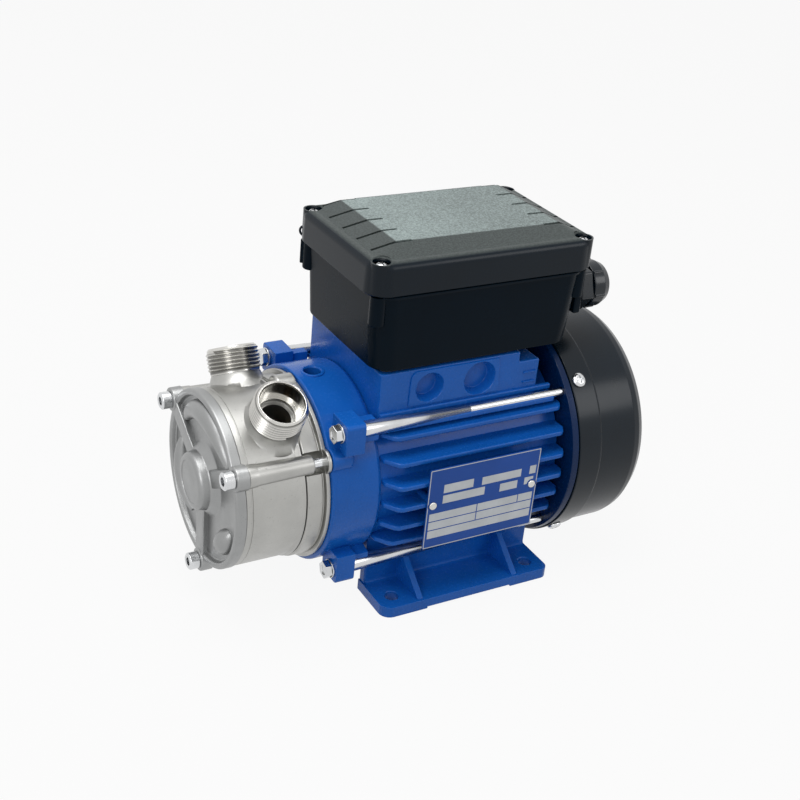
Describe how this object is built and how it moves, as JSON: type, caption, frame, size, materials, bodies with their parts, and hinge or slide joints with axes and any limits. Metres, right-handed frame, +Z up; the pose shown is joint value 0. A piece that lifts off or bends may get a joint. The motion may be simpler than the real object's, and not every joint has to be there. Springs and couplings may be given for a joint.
{
  "type": "liquid ring pump",
  "caption": "Close-coupled liquid ring pump: stainless pump head with twin leaning threaded ports, finned blue motor on feet, terminal box and fan cover.",
  "frame": {"origin": "on the floor under the feet, below the middle of the object's length", "axes": "+X runs along the shaft from the pump head to the fan cover, +Z is up, and the nameplate faces -Y"},
  "size_m": [0.2326, 0.1224, 0.1834],
  "materials": {
    "cast_stainless": "satin cast stainless steel",
    "machined_stainless": "turned and ground",
    "zinc_plated_steel": "bright zinc plated",
    "blue_enamel": "blue enamel on die-cast aluminium",
    "navy_enamel": "dark blue enamel",
    "black_plastic": "fine-grained moulded plastic",
    "rubber": "plain",
    "copper_winding": "varnished wire",
    "bearing_steel": "ground",
    "laminated_steel": "stacked sheets",
    "cast_aluminium": "cast",
    "carbon": "lapped",
    "bronze": "cast and turned",
    "plate_blue": "blue anodised plate with a bare silver field",
    "pale_plastic": "plain"
  },
  "bodies": {
    "pump_and_motor": {"front_cover": "cast_stainless", "pump_body": "cast_stainless", "back_plate": "cast_stainless", "nameplate_rivet_1": "machined_stainless", "nameplate_rivet_2": "machined_stainless", "cover_screw_1": "zinc_plated_steel", "cover_screw_2": "zinc_plated_steel", "cover_screw_3": "zinc_plated_steel", "tie_rod_1": "zinc_plated_steel", "tie_rod_2": "zinc_plated_steel", "tie_rod_3": "zinc_plated_steel", "tie_rod_4": "zinc_plated_steel", "fan_cover_screw_1": "zinc_plated_steel", "fan_cover_screw_2": "zinc_plated_steel", "fan_cover_screw_3": "zinc_plated_steel", "fan_cover_screw_4": "zinc_plated_steel", "lid_screw_1": "zinc_plated_steel", "lid_screw_2": "zinc_plated_steel", "lid_screw_3": "zinc_plated_steel", "lid_screw_4": "zinc_plated_steel", "box_screw_1": "zinc_plated_steel", "box_screw_2": "zinc_plated_steel", "motor_flange": "blue_enamel", "motor_housing": "blue_enamel", "rear_shield": "navy_enamel", "fan_cover": "black_plastic", "terminal_box_base": "black_plastic", "terminal_box_lid": "black_plastic", "gland_body": "black_plastic", "gland_nut": "black_plastic", "front_o_ring": "rubber", "rear_o_ring": "rubber", "box_gasket": "rubber", "gland_seal": "rubber", "winding_front": "copper_winding", "winding_rear": "copper_winding", "front_bearing_outer": "bearing_steel", "rear_bearing_outer": "bearing_steel", "wave_washer": "bearing_steel", "stator_core": "laminated_steel", "shaft_bush": "carbon", "nameplate": "plate_blue", "seal_seat": "pale_plastic", "capacitor": "pale_plastic", "terminal_board": "pale_plastic"},
    "shaft_group": {"shaft": "machined_stainless", "rotor_core": "cast_aluminium", "front_bearing_inner": "bearing_steel", "rear_bearing_inner": "bearing_steel", "fan": "black_plastic", "fan_clip": "bearing_steel", "impeller": "bronze", "impeller_ring": "bearing_steel", "seal_head": "carbon", "seal_spring": "bearing_steel", "slinger": "rubber"},
    "front_cage": {"front_ball_cage": "bearing_steel"},
    "rear_cage": {"rear_ball_cage": "bearing_steel"}
  },
  "joints": [
    {"name": "shaft_spin", "type": "hinge", "parent": "pump_and_motor", "child": "shaft_group", "pos_m": [0, 0, 0.063], "axis": [1, 0, 0], "continuous": true},
    {"name": "front_cage_spin", "type": "hinge", "parent": "pump_and_motor", "child": "front_cage", "pos_m": [-0.04383, 0, 0.063], "axis": [1, 0, 0], "continuous": true},
    {"name": "rear_cage_spin", "type": "hinge", "parent": "pump_and_motor", "child": "rear_cage", "pos_m": [0.07237, 0, 0.063], "axis": [1, 0, 0], "continuous": true}
  ],
  "couplings": [
    {"joint": "front_cage_spin", "follows": "shaft_spin", "ratio": 0.396},
    {"joint": "rear_cage_spin", "follows": "shaft_spin", "ratio": 0.396}
  ]
}
